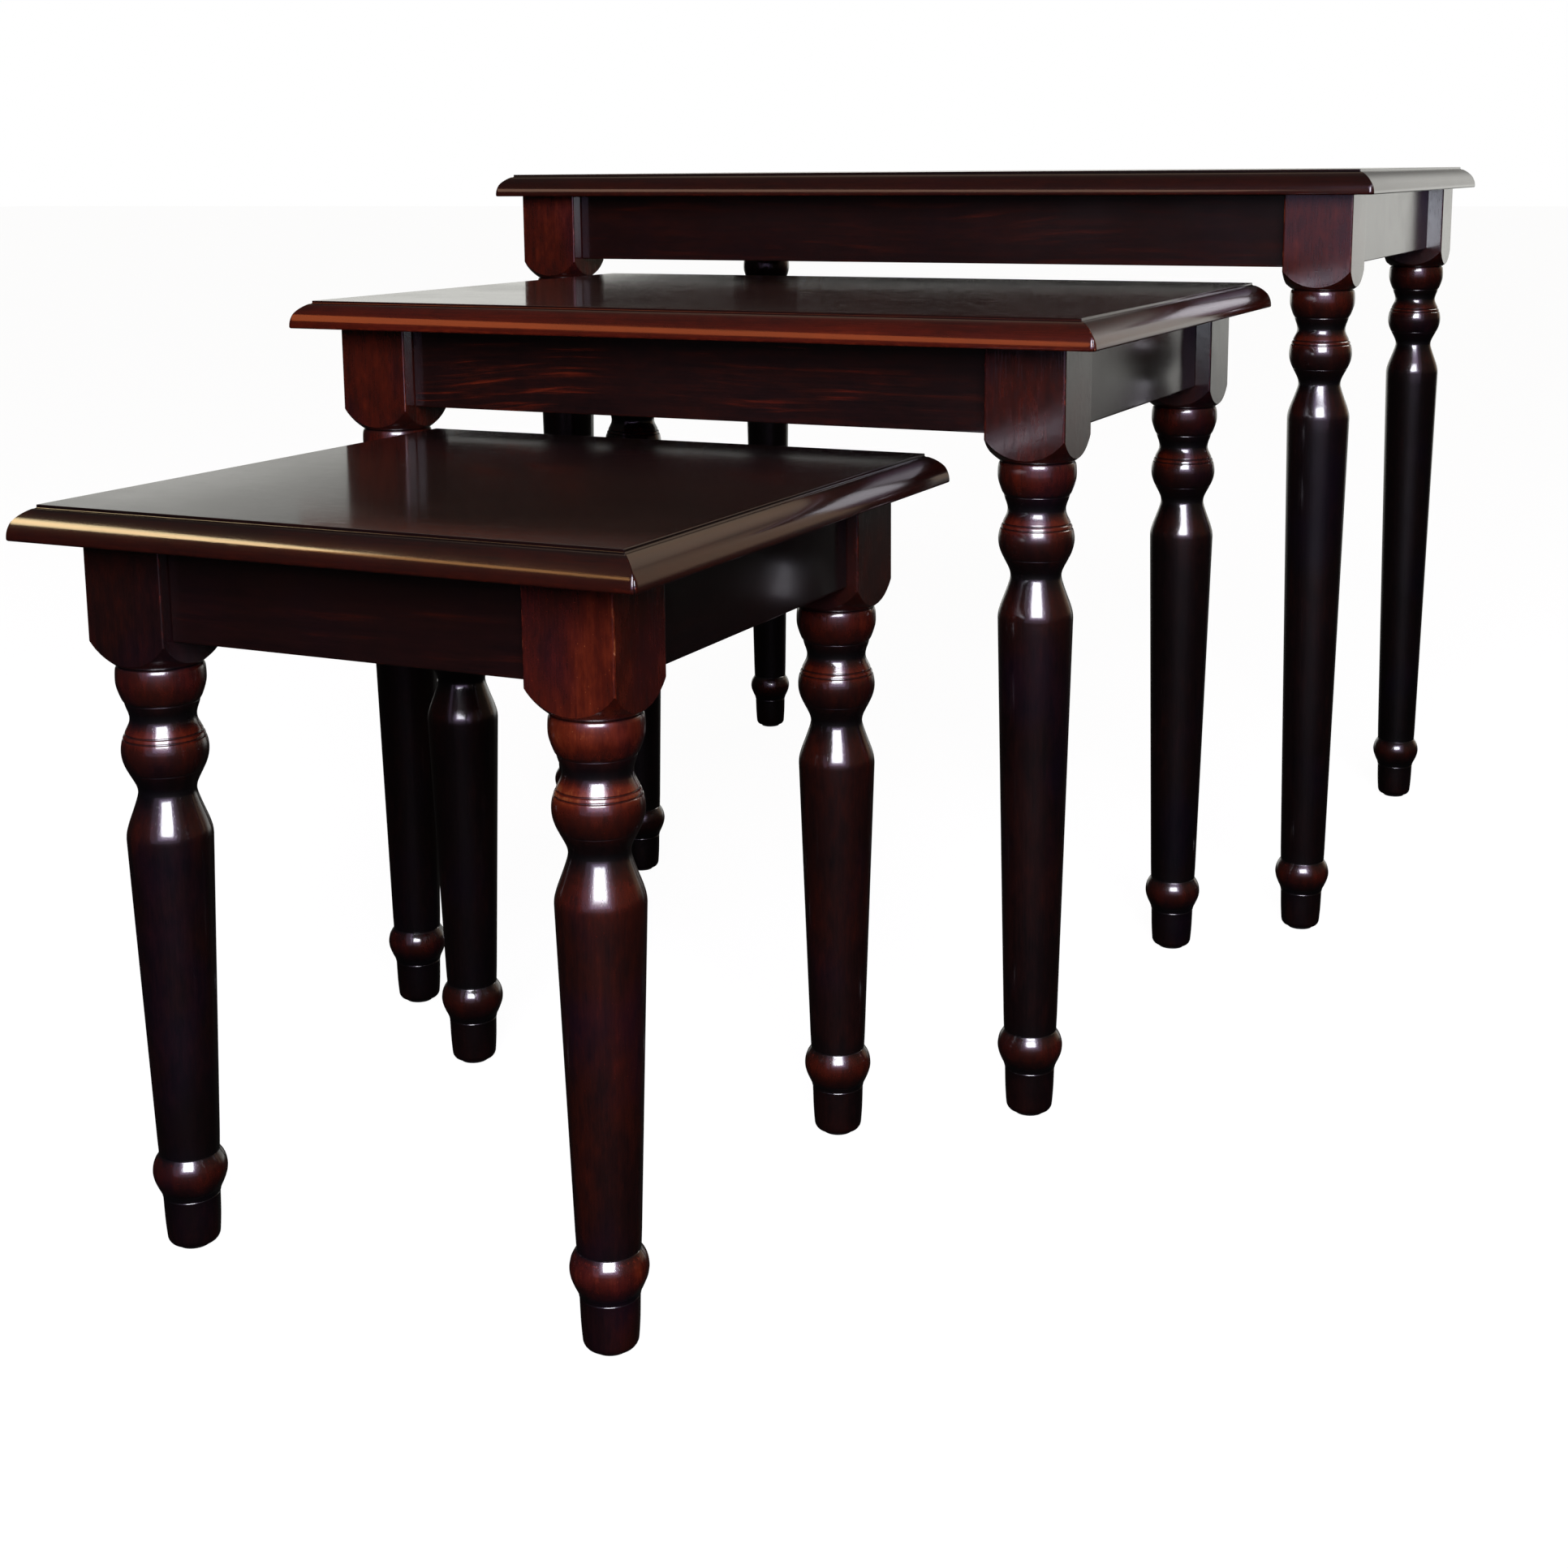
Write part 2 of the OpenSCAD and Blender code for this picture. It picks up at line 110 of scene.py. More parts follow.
# ------------------------------------------------------------------
# node helpers
# ------------------------------------------------------------------
class Tree:
    def __init__(self, name):
        self.mat = bpy.data.materials.new(name)
        self.mat.use_nodes = True
        self.nt = self.mat.node_tree
        self.nt.nodes.clear()
        self.out = self.nt.nodes.new("ShaderNodeOutputMaterial")
        self.bsdf = self.nt.nodes.new("ShaderNodeBsdfPrincipled")
        self.nt.links.new(self.bsdf.outputs[0], self.out.inputs[0])

    def put(self, socket, value):
        if hasattr(value, "is_output") or isinstance(value, bpy.types.NodeSocket):
            self.nt.links.new(value, socket)
        else:
            socket.default_value = value

    def coords(self, scale=(1, 1, 1), offset=(0, 0, 0), rot=(0, 0, 0)):
        tc = self.nt.nodes.new("ShaderNodeTexCoord")
        mp = self.nt.nodes.new("ShaderNodeMapping")
        mp.inputs["Scale"].default_value = scale
        mp.inputs["Location"].default_value = offset
        mp.inputs["Rotation"].default_value = rot
        self.nt.links.new(tc.outputs["Object"], mp.inputs["Vector"])
        return mp.outputs[0]

    def noise(self, vec, scale=1.0, detail=3.0, rough=0.5, distort=0.0):
        n = self.nt.nodes.new("ShaderNodeTexNoise")
        n.inputs["Scale"].default_value = scale
        n.inputs["Detail"].default_value = detail
        n.inputs["Roughness"].default_value = rough
        n.inputs["Distortion"].default_value = distort
        self.nt.links.new(vec, n.inputs["Vector"])
        return n.outputs["Fac"]

    def wave(self, vec, scale=1.0, distort=2.0, detail=2.0, dscale=1.0, kind="BANDS"):
        n = self.nt.nodes.new("ShaderNodeTexWave")
        n.wave_type = kind
        n.inputs["Scale"].default_value = scale
        n.inputs["Distortion"].default_value = distort
        n.inputs["Detail"].default_value = detail
        n.inputs["Detail Scale"].default_value = dscale
        self.nt.links.new(vec, n.inputs["Vector"])
        return n

    def math(self, op, a, b=0.0, c=None, clamp=False):
        n = self.nt.nodes.new("ShaderNodeMath")
        n.operation = op
        n.use_clamp = clamp
        self.put(n.inputs[0], a)
        self.put(n.inputs[1], b)
        if c is not None:
            self.put(n.inputs[2], c)
        return n.outputs[0]

    def remap(self, value, a, b, c=0.0, d=1.0, smooth=True):
        n = self.nt.nodes.new("ShaderNodeMapRange")
        n.interpolation_type = "SMOOTHSTEP" if smooth else "LINEAR"
        n.clamp = True
        self.put(n.inputs[0], value)
        n.inputs[1].default_value = a
        n.inputs[2].default_value = b
        n.inputs[3].default_value = c
        n.inputs[4].default_value = d
        return n.outputs[0]

    def attr(self, name):
        n = self.nt.nodes.new("ShaderNodeAttribute")
        n.attribute_name = name
        return n.outputs["Fac"]

    def ramp(self, fac, stops, mode="LINEAR"):
        n = self.nt.nodes.new("ShaderNodeValToRGB")
        cr = n.color_ramp
        cr.interpolation = mode
        while len(cr.elements) > 1:
            cr.elements.remove(cr.elements[-1])
        cr.elements[0].position = stops[0][0]
        cr.elements[0].color = (*stops[0][1], 1)
        for pos, col in stops[1:]:
            e = cr.elements.new(pos)
            e.color = (*col, 1)
        self.put(n.inputs[0], fac)
        return n.outputs[0]

    def mix(self, fac, a, b, mode="MIX"):
        n = self.nt.nodes.new("ShaderNodeMix")
        n.data_type = "RGBA"
        n.blend_type = mode
        self.put(n.inputs[0], fac)
        for socket, value in ((n.inputs[6], a), (n.inputs[7], b)):
            if isinstance(value, (tuple, list)):
                socket.default_value = (*value[:3], 1)
            else:
                self.nt.links.new(value, socket)
        return n.outputs[2]

    def bump(self, height, strength=0.3, distance=0.0005, normal=None):
        n = self.nt.nodes.new("ShaderNodeBump")
        n.inputs["Strength"].default_value = strength
        n.inputs["Distance"].default_value = distance
        self.nt.links.new(height, n.inputs["Height"])
        if normal is not None:
            self.nt.links.new(normal, n.inputs["Normal"])
        return n.outputs[0]

    def set(self, name, value):
        self.put(self.bsdf.inputs[name], value)


# Stain colour by tone: 0 is the darkest glaze, 1 is wood worn bare
STAIN = (
    (0.00, (0.0014, 0.0008, 0.0009)),
    (0.20, (0.0036, 0.0013, 0.0013)),
    (0.35, (0.0085, 0.0021, 0.0017)),
    (0.50, (0.0190, 0.0030, 0.0016)),
    (0.64, (0.0410, 0.0046, 0.0018)),
    (0.78, (0.0880, 0.0115, 0.0034)),
    (0.90, (0.1900, 0.0520, 0.0150)),
    (1.00, (0.4200, 0.2400, 0.1400)),
)


def axis_scale(axis, along, across):
    return tuple(along if i == axis else across for i in range(3))


def lacquer(
    name,
    axis,
    tone=0.0,
    fibre=0.20,
    mottle=0.16,
    figure=0.0,
    coat_rough=0.09,
    base_rough=0.36,
    orange_peel=0.05,
    purple=0.25,
    pores=0.35,
    speck=0.5,
    base_spec=0.06,
    dusty=0.0,
    violet=2.6,
):
    """Dark mahogany stain under lacquer. axis is the way the grain runs."""
    t = Tree(name)
    # fine fibres, drawn out along the grain
    fine = t.noise(t.coords(axis_scale(axis, 26, 900)), 1.0, 4.0, 0.62)
    streak = t.noise(t.coords(axis_scale(axis, 5, 150), (3.1, 1.7, 0.4)), 1.0, 3.0, 0.55, 0.4)
    blotch = t.noise(t.coords(axis_scale(axis, 14, 34), (0.3, 7.0, 2.2)), 1.0, 4.0, 0.6)
    rub = t.noise(t.coords(axis_scale(axis, 70, 170), (2.3, 1.0, 6.2)), 1.0, 5.0, 0.68)
    value = t.math("ADD", t.attr("tone"), tone)
    value = t.math("MULTIPLY_ADD", t.math("SUBTRACT", fine, 0.5), fibre, value)
    value = t.math("MULTIPLY_ADD", t.math("SUBTRACT", streak, 0.5), fibre * 1.1, value)
    value = t.math("MULTIPLY_ADD", t.math("SUBTRACT", blotch, 0.5), mottle * 2.0, value)
    value = t.math("MULTIPLY_ADD", t.math("SUBTRACT", rub, 0.5), mottle * 1.9, value)
    if figure:
        # broken lines of lighter late wood, with a slow arch to them
        bend = t.noise(t.coords(axis_scale(axis, 3.0, 9.0), (0.9, 0.2, 5.0)), 1.0, 1.0)
        line = t.coords(axis_scale(axis, 11, 230), (1.9, 2.2, 1.0))
        shift = t.nt.nodes.new("ShaderNodeVectorMath")
        shift.operation = "ADD"
        t.nt.links.new(line, shift.inputs[0])
        arch = t.nt.nodes.new("ShaderNodeCombineXYZ")
        t.nt.links.new(t.math("MULTIPLY", bend, 14.0), arch.inputs[2])
        t.nt.links.new(arch.outputs[0], shift.inputs[1])
        thin = t.remap(t.noise(shift.outputs[0], 1.0, 3.0, 0.6), 0.49, 0.68)
        gate = t.remap(t.noise(t.coords(axis_scale(axis, 9, 40), (2, 2, 2)), 1.0, 2.0), 0.34, 0.66)
        value = t.math("MULTIPLY_ADD", t.math("MULTIPLY", thin, gate), figure, value)
    # pores: short dark dashes
    dash = t.noise(t.coords(axis_scale(axis, 60, 1500), (5, 3, 1)), 1.0, 1.0, 0.5)
    pore = t.remap(dash, 0.60, 0.70)
    value = t.math("MULTIPLY_ADD", pore, -0.10 * pores, value)
    # lighter broken dots along the arrises: partly wear, partly a painted highlight along the edges
    dots = t.remap(t.noise(t.coords(axis_scale(axis, 150, 620), (1, 9, 4)), 1.0, 4.0, 0.7), 0.44, 0.66)
    wear_and_highlight = t.math("MULTIPLY", t.attr("arris"), dots)
    value = t.math("MULTIPLY_ADD", wear_and_highlight, speck, value)
    # a few pale specks of dust in the lacquer
    dust = t.remap(t.noise(t.coords((1300, 1300, 1300), (3, 8, 5)), 1.0, 0.0), 0.80, 0.86)
    value = t.math("MULTIPLY_ADD", dust, dusty, value)
    # darker in the recesses: partly dark glaze, partly painted shade in grooves, necks and under ledges
    value = t.math("MULTIPLY_ADD", t.attr("glaze_and_shade"), -0.30, value, clamp=True)
    colour = t.ramp(value, STAIN)
    # patches where the stain leans to purple
    patch = t.remap(t.noise(t.coords((21, 21, 13), (8, 1, 3)), 1.0, 2.0), 0.48, 0.72)
    cool = t.mix(1.0, colour, (0.80, 0.92, violet), "MULTIPLY")
    colour = t.mix(t.math("MULTIPLY", patch, purple), colour, cool)
    t.set("Base Color", colour)
    r = t.math("MULTIPLY_ADD", fine, 0.12, base_rough - 0.06)
    r = t.math("MULTIPLY_ADD", t.attr("glaze_and_shade"), 0.2, r)
    t.set("Roughness", r)
    t.bsdf.inputs["IOR"].default_value = 1.5
    t.bsdf.inputs["Specular IOR Level"].default_value = base_spec
    t.bsdf.inputs["Coat Weight"].default_value = 1.0
    smudge = t.noise(t.coords((9, 9, 9), (2, 4, 6)), 1.0, 3.0, 0.6)
    c = t.remap(smudge, 0.3, 0.75, coat_rough * 0.8, coat_rough * 1.35)
    t.set("Coat Roughness", c)
    t.bsdf.inputs["Coat IOR"].default_value = 1.56
    # the lacquer follows the grain a little and has a faint orange peel
    peel = t.noise(t.coords((260, 260, 260), (1, 1, 1)), 1.0, 2.0)
    grit = t.noise(t.coords((1100, 1100, 1100), (6, 2, 9)), 1.0, 1.0)
    peel = t.math("MULTIPLY_ADD", grit, 0.35, peel)
    swell = t.noise(t.coords(axis_scale(axis, 12, 60), (4, 4, 4)), 1.0, 2.0)
    h = t.math("MULTIPLY_ADD", fine, 0.25, t.math("MULTIPLY", pore, -0.7 * pores))
    h = t.math("MULTIPLY_ADD", swell, 0.8, h)
    t.set("Normal", t.bump(h, 0.35, 0.00025))
    t.set("Coat Normal", t.bump(t.math("MULTIPLY_ADD", peel, 0.5, h), orange_peel * 4, 0.0001))
    return t.mat


def raw_wood(name):
    t = Tree(name)
    fine = t.noise(t.coords((700, 700, 30)), 1.0, 4.0, 0.6)
    ring = t.noise(t.coords((120, 120, 9), (2, 1, 0)), 1.0, 3.0, 0.5, 0.6)
    v = t.math("MULTIPLY_ADD", fine, 0.35, t.math("MULTIPLY", ring, 0.75))
    colour = t.ramp(
        v,
        (
            (0.2, (0.16, 0.085, 0.040)),
            (0.5, (0.34, 0.20, 0.10)),
            (0.8, (0.50, 0.33, 0.18)),
        ),
    )
    stain = t.remap(t.noise(t.coords((30, 30, 30), (5, 5, 5)), 1.0, 3.0), 0.45, 0.7)
    colour = t.mix(t.math("MULTIPLY", stain, 0.55), colour, (0.07, 0.022, 0.012))
    t.set("Base Color", colour)
    t.set("Roughness", t.math("MULTIPLY_ADD", fine, 0.2, 0.6))
    t.set("Normal", t.bump(fine, 0.4, 0.0004))
    return t.mat


def zinc(name):
    t = Tree(name)
    grainy = t.noise(t.coords((900, 900, 900)), 1.0, 3.0)
    cloud = t.noise(t.coords((120, 120, 120)), 1.0, 3.0)
    t.set("Base Color", t.ramp(cloud, ((0.3, (0.42, 0.41, 0.38)), (0.7, (0.62, 0.62, 0.60)))))
    t.bsdf.inputs["Metallic"].default_value = 1.0
    t.set("Roughness", t.remap(cloud, 0.3, 0.7, 0.28, 0.46))
    t.set("Normal", t.bump(grainy, 0.2, 0.0002))
    return t.mat


def nylon(name):
    t = Tree(name)
    cloud = t.noise(t.coords((300, 300, 300)), 1.0, 3.0)
    t.set("Base Color", t.ramp(cloud, ((0.3, (0.010, 0.010, 0.010)), (0.7, (0.022, 0.021, 0.020)))))
    t.set("Roughness", t.remap(cloud, 0.3, 0.7, 0.42, 0.62))
    t.set("Normal", t.bump(cloud, 0.25, 0.0002))
    return t.mat


MAT = {
    "panel": lacquer("lacquer_top", 0, fibre=0.36, mottle=0.06, coat_rough=0.105,
                     base_rough=0.42, orange_peel=0.025, purple=0.10, pores=0.6, base_spec=0.055),
    "mould_x": lacquer("lacquer_moulding_x", 0, fibre=0.16, mottle=0.10,
                       coat_rough=0.11, base_rough=0.40, orange_peel=0.05, purple=0.15),
    "mould_y": lacquer("lacquer_moulding_y", 1, fibre=0.16, mottle=0.10,
                       coat_rough=0.11, base_rough=0.40, orange_peel=0.05, purple=0.15),
    "leg": lacquer("lacquer_leg", 2, fibre=0.15, mottle=0.22, coat_rough=0.14, speck=0.32,
                   base_rough=0.42, orange_peel=0.10, purple=0.60, base_spec=0.06, dusty=0.16,
                     violet=3.0),
    "apron_x": lacquer("lacquer_apron_x", 0, fibre=0.16, mottle=0.08, figure=0.20,
                       coat_rough=0.16, base_rough=0.45, orange_peel=0.05, purple=0.15),
    "apron_m": lacquer("lacquer_apron_figured", 0, fibre=0.22, mottle=0.14, figure=0.36,
                       coat_rough=0.16, base_rough=0.45, orange_peel=0.05, purple=0.10),
    "apron_y": lacquer("lacquer_apron_y", 1, fibre=0.16, mottle=0.08, figure=0.12,
                       coat_rough=0.14, base_rough=0.45, orange_peel=0.05, purple=0.15),
    "raw": raw_wood("raw_beech"),
    "zinc": zinc("zinc_plated_steel"),
    "nylon": nylon("black_nylon"),
}


# ------------------------------------------------------------------
# turned legs
# ------------------------------------------------------------------
HEAD = 50.0
HEAD_H = 69.0
POMMEL_H = 15.0
FLAT_R = 29.7  # distance of the flat on the inner arris from the leg axis
FLAT_D = 44.0
GLIDE = 2.0
UPPER = [
    (69.0, 20.8), (69.4, 21.7), (70.2, 22.7), (72.5, 23.3), (77.5, 23.5), (81, 23.1), (85, 21.9),
    (88.5, 20.5), (89.5, 19.8), (92.5, 18.9), (95, 18.0), (98, 17.4),
    (101, 17.8), (104, 19.2), (108, 21.1), (112, 22.3), (116, 22.8),
    (120, 22.5), (124, 21.4), (128, 19.6), (132, 17.5), (135.5, 15.9),
    (138.5, 15.3), (141, 15.6), (144, 16.5), (148, 17.9), (152, 19.4),
    (156, 20.9), (160, 22.1), (162.5, 22.55), (165, 22.7),
]
LOWER = [
    (54.5, 16.4), (53.5, 16.9), (51, 18.5), (48, 19.6), (44, 20.1),
    (40, 19.5), (36, 18.0), (33, 16.6), (31, 15.8), (30, 15.7),
    (29, 15.4), (16, 15.0), (6, 14.3), (4, 13.8), (2.6, 12.8),
]
# cut lines on the turning: depth under the top's underside, depth, half width
GROOVES = [(106.9, 0.75, 0.75), (109.6, 0.70, 0.70), (89.9, 0.18, 0.5), (127.8, 0.22, 0.5)]
FOOT_GROOVES = [(29.6, 0.25, 0.5), (54.6, 0.25, 0.5), (33.0, 0.12, 0.4)]
# tone along the turning, by depth and by height: lighter and redder on the bulges the key lamp falls on, partly worn
# high spots and partly painted light; darker in the necks, partly painted shade
TONE_UPPER = [
    (69, 0.52), (71, 0.66), (76, 0.69), (82, 0.63), (87, 0.52), (90, 0.33),
    (94, 0.23), (98, 0.26), (101, 0.50), (104, 0.74), (107, 0.80), (110, 0.76), (113, 0.60),
    (118, 0.50), (124, 0.43), (129, 0.33), (133, 0.21), (138, 0.16),
    (142, 0.27), (147, 0.45), (153, 0.53), (160, 0.54), (164, 0.46), (172, 0.42), (190, 0.40),
]
TONE_LOWER = [
    (0, 0.30), (6, 0.34), (24, 0.30), (29, 0.24), (32, 0.20), (36, 0.40),
    (41, 0.56), (46, 0.62), (50, 0.60), (53, 0.46), (55, 0.30), (62, 0.34),
]


ARRIS_R = 1.0


def head_columns():
    """Angles round the leg, close together at the four arrises."""
    out = []
    h = HEAD / 2
    k = h - ARRIS_R
    for q in range(4):
        base = q * 90.0
        for f in (-1, -0.975, -0.88, -0.74, -0.58, -0.4, -0.2, 0, 0.2, 0.4, 0.58, 0.74, 0.88, 0.975, 1):
            out.append(base + math.degrees(math.atan2(f * k, h)))
        for n in range(1, 6):
            a = math.radians(15.0 * n)
            out.append(
                base + math.degrees(math.atan2(k + ARRIS_R * math.sin(a), k + ARRIS_R * math.cos(a)))
            )
    return out


def square_r(angle_deg):
    h = HEAD / 2
    a = math.radians((angle_deg + 45) % 90 - 45)
    c, s = math.cos(a), abs(math.sin(a))
    r = h / c
    k = h - ARRIS_R
    if r * s <= k + 1e-9:
        return r
    # ray against the arris circle
    b = k * (c + s)
    disc = b * b - (2 * k * k - ARRIS_R * ARRIS_R)
    return b + math.sqrt(max(0.0, disc))


def pommel_at(t):
    """(radius, depth) along the rounded shoulder under the square."""
    return (
        HEAD / 2 + 10.5 - 13 * t + 4.4 * t * (1 - t),
        HEAD_H - POMMEL_H + POMMEL_H * t + 3 * t * (1 - t),
    )


POMMEL_T = np.linspace(0, 1, 401)
POMMEL_R = np.array([pommel_at(t)[0] for t in POMMEL_T])


def turned_profile(u):
    """Rows (z, r, tone, cavity, arris) of the turning, from the head down."""
    rows = []
    dense = catmull(UPPER, 5)
    ds = np.array([p[0] for p in dense])
    rs = np.array([p[1] for p in dense])
    marks = list(np.arange(69.0, 73.0, 0.35)) + list(np.arange(73.0, 165.01, 0.9))
    for d0, deep, w in GROOVES:
        marks = [m for m in marks if abs(m - d0) > 1.5 * w]
        marks += [d0 + w * f for f in (-1.5, -0.9, -0.5, -0.2, 0.2, 0.5, 0.9, 1.5)]
    for d in sorted(marks):
        r = float(np.interp(d, ds, rs))
        glaze_shade = 0.0
        for d0, deep, w in GROOVES:
            g = math.exp(-(((d - d0) / (w * 0.55)) ** 2))
            r -= deep * g
            glaze_shade = max(glaze_shade, g * min(1.0, deep / 0.5))
        # darker under the head's ledge and in the two necks: painted shade with some glaze
        if d < 69.8:
            glaze_shade = max(glaze_shade, 0.5)
        glaze_shade = max(glaze_shade, 0.8 * math.exp(-(((d - 138.2) / 2.0) ** 2)))
        glaze_shade = max(glaze_shade, 0.7 * math.exp(-(((d - 97.0) / 2.4) ** 2)))
        tone = lerp_table(TONE_UPPER, d)
        arris = 0.5 * math.exp(-(((d - 88.3) / 0.7) ** 2)) + 0.12 * math.exp(-(((d - 160.6) / 1.1) ** 2))
        rows.append((u - d, r, tone, glaze_shade, arris))
    # the long straight taper
    top = (u - 165.0, 22.7)
    end = (54.5, 16.4)
    n = max(8, int((top[0] - end[0]) / 9))
    for k in range(1, n):
        f = k / n
        z = top[0] + (end[0] - top[0]) * f
        r = top[1] + (end[1] - top[1]) * f
        d = u - z
        tone = lerp_table(TONE_UPPER, d)
        low = lerp_table(TONE_LOWER, z) if z < 62 else 0.34
        tone = tone + (low - tone) * smoothstep((z - 140) / -70.0)
        rows.append((z, r, tone, 0.0, 0.0))
    dense = catmull(LOWER, 5)
    zs = np.array([p[0] for p in dense][::-1])
    rs = np.array([p[1] for p in dense][::-1])
    marks = list(np.arange(54.5, 2.55, -1.05)) + [53.9, 3.4, 2.6]
    for z0, deep, w in FOOT_GROOVES:
        marks = [m for m in marks if abs(m - z0) > 1.5 * w]
        marks += [z0 + w * f for f in (-1.5, -0.9, -0.5, -0.2, 0.2, 0.5, 0.9, 1.5) if z0 + w * f <= 54.9]
    for z in sorted(set(round(m, 4) for m in marks), reverse=True):
        r = float(np.interp(z, zs, rs))
        if z > 54.5:
            r = 16.4 + (z - 54.5) * 6.3 / (u - 165.0 - 54.5)
        glaze_shade = 0.0
        for z0, deep, w in FOOT_GROOVES:
            g = math.exp(-(((z - z0) / (w * 0.55)) ** 2))
            r -= deep * g
            glaze_shade = max(glaze_shade, g * min(1.0, deep / 0.3))
        glaze_shade = max(glaze_shade, 0.5 * math.exp(-(((z - 31.5) / 1.6) ** 2)))
        tone = lerp_table(TONE_LOWER, z)
        arris = 0.8 * math.exp(-(((z - 52.6) / 0.7) ** 2))
        rows.append((z, r, tone, glaze_shade, arris))
    return rows


COLUMNS = head_columns()
SQUARE = [square_r(a) for a in COLUMNS]


def build_leg(name, cx, cy, u, turn, head_tone, turn_tone, taper_tone):
    """A leg with its axis at (cx, cy) mm. turn is how far the inner arris is
    turned from the (+X, +Y) diagonal."""
    n = len(COLUMNS)
    z_rows, r_rows, tones, glaze_shades, arr = [], [], [], [], []
    h = HEAD / 2
    near_arris = []
    for a, s in zip(COLUMNS, SQUARE):
        off = abs((a + 45) % 90 - 90 if (a + 45) % 90 > 45 else (a + 45) % 90)
        near_arris.append(max(0.0, 1 - off / 2.2))
    inner = [abs((a - 45 + 180) % 360 - 180) for a in COLUMNS]

    def add(zs, rs, tone, glaze_shade, arris):
        z_rows.append(zs)
        r_rows.append(rs)
        tones.append(tone)
        glaze_shades.append(glaze_shade)
        arr.append(arris)

    def flat(k, d, r):
        if d < FLAT_D and inner[k] < 40:
            return min(r, FLAT_R / math.cos(math.radians(inner[k])))
        return r

    # head rows at fixed depths
    for d in (0.0, 0.4, 6, 14, 22, 30, 38, 43.9, 44.1, 50):
        pull = 0.35 if d == 0.0 else 0.0
        add(
            [u - d] * n,
            [flat(k, d, SQUARE[k]) - pull for k in range(n)],
            [head_tone] * n,
            [0.5 if d < 0.3 else 0.0] * n,
            near_arris[:],
        )
    # each column's own end of the square, where the rounded shoulder starts
    t_c = [float(np.interp(-sq, -POMMEL_R, POMMEL_T)) for sq in SQUARE]
    d_c = [pommel_at(t)[1] for t in t_c]
    for f in (0.3, 0.6, 0.85, 0.965, 1.0):
        add(
            [u - (50 + (d_c[k] - 50) * f) for k in range(n)],
            SQUARE[:],
            [head_tone] * n,
            [0.0] * n,
            [near_arris[k] * (1 - 0.5 * f) for k in range(n)],
        )
    for f in (0.02, 0.10, 0.22, 0.36, 0.50, 0.64, 0.78, 0.90, 0.97, 1.0):
        pts = [pommel_at(t_c[k] + (1 - t_c[k]) * f) for k in range(n)]
        add(
            [u - p[1] for p in pts],
            [min(SQUARE[k], pts[k][0]) for k in range(n)],
            [head_tone * 0.97] * n,
            [0.0] * n,
            [0.0] * n,
        )
    # the small ledge over the collar, darker as painted shade under the head
    add([u - HEAD_H - 0.02] * n, [22.1] * n, [head_tone * 0.7] * n, [0.5] * n, [0.0] * n)
    for z, r, tone, glaze_shade, arris in turned_profile(u):
        shade = turn_tone + taper_tone * smoothstep((u - z - 150) / 25) * smoothstep((z - 50) / 12)
        add([z] * n, [r] * n, [tone + shade] * n, [glaze_shade] * n, [arris] * n)
    # rounded end of the foot, darkened underneath as painted shade
    add([GLIDE + 0.05] * n, [11.9] * n, [0.3] * n, [0.3] * n, [0.0] * n)
    add([GLIDE] * n, [10.5] * n, [0.3] * n, [0.4] * n, [0.0] * n)
    m = len(z_rows)
    ang = np.radians(np.array(COLUMNS) + turn)
    zz = np.array(z_rows)
    rr = np.array(r_rows)
    x = cx + rr * np.cos(ang)[None, :]
    y = cy + rr * np.sin(ang)[None, :]
    verts = np.stack([x, y, zz], -1).reshape(-1, 3) * MM
    faces = []
    for j in range(m - 1):
        for k in range(n):
            k2 = (k + 1) % n
            faces.append((j * n + k, (j + 1) * n + k, (j + 1) * n + k2, j * n + k2))
    top = len(verts)
    verts = np.vstack([verts, [[cx * MM, cy * MM, u * MM], [cx * MM, cy * MM, GLIDE * MM]]])
    for k in range(n):
        k2 = (k + 1) % n
        faces.append((k, k2, top))
        faces.append(((m - 1) * n + k2, (m - 1) * n + k, top + 1))
    attrs = {
        "tone": np.append(np.array(tones).ravel(), [0.3, 0.3]),
        "glaze_and_shade": np.append(np.array(glaze_shades).ravel(), [0.5, 0.5]),
        "arris": np.append(np.array(arr).ravel(), [0.0, 0.0]),
    }
    obj = make_object(name, verts, faces, attrs, sharp=24)
    obj.data.materials.append(MAT["leg"])
    return obj


# tone of each leg's square head and turning
HEAD_TONE = {
    "small": {"front_left": 0.37, "front_right": 0.61, "back_right": 0.50, "back_left": 0.40},
    "medium": {"front_left": 0.58, "front_right": 0.51, "back_right": 0.42, "back_left": 0.40},
    "large": {"front_left": 0.58, "front_right": 0.58, "back_right": 0.42, "back_left": 0.42},
}
TURN_TONE = {
    "small": {"front_left": -0.10, "front_right": 0.02, "back_right": -0.05, "back_left": -0.10},
    "medium": {"front_left": -0.08, "front_right": -0.08, "back_right": -0.12, "back_left": -0.12},
    "large": {"front_left": -0.08, "front_right": -0.10, "back_right": -0.14, "back_left": -0.12},
}
TAPER_TONE = {
    "small": {"front_left": -0.06, "front_right": 0.0, "back_right": 0.0, "back_left": -0.08},
    "medium": {"front_left": -0.08, "front_right": -0.05, "back_right": -0.10, "back_left": -0.10},
    "large": {"front_left": -0.10, "front_right": -0.12, "back_right": -0.15, "back_left": -0.12},
}
TURN = {"front_left": 0, "front_right": 90, "back_right": 180, "back_left": 270}

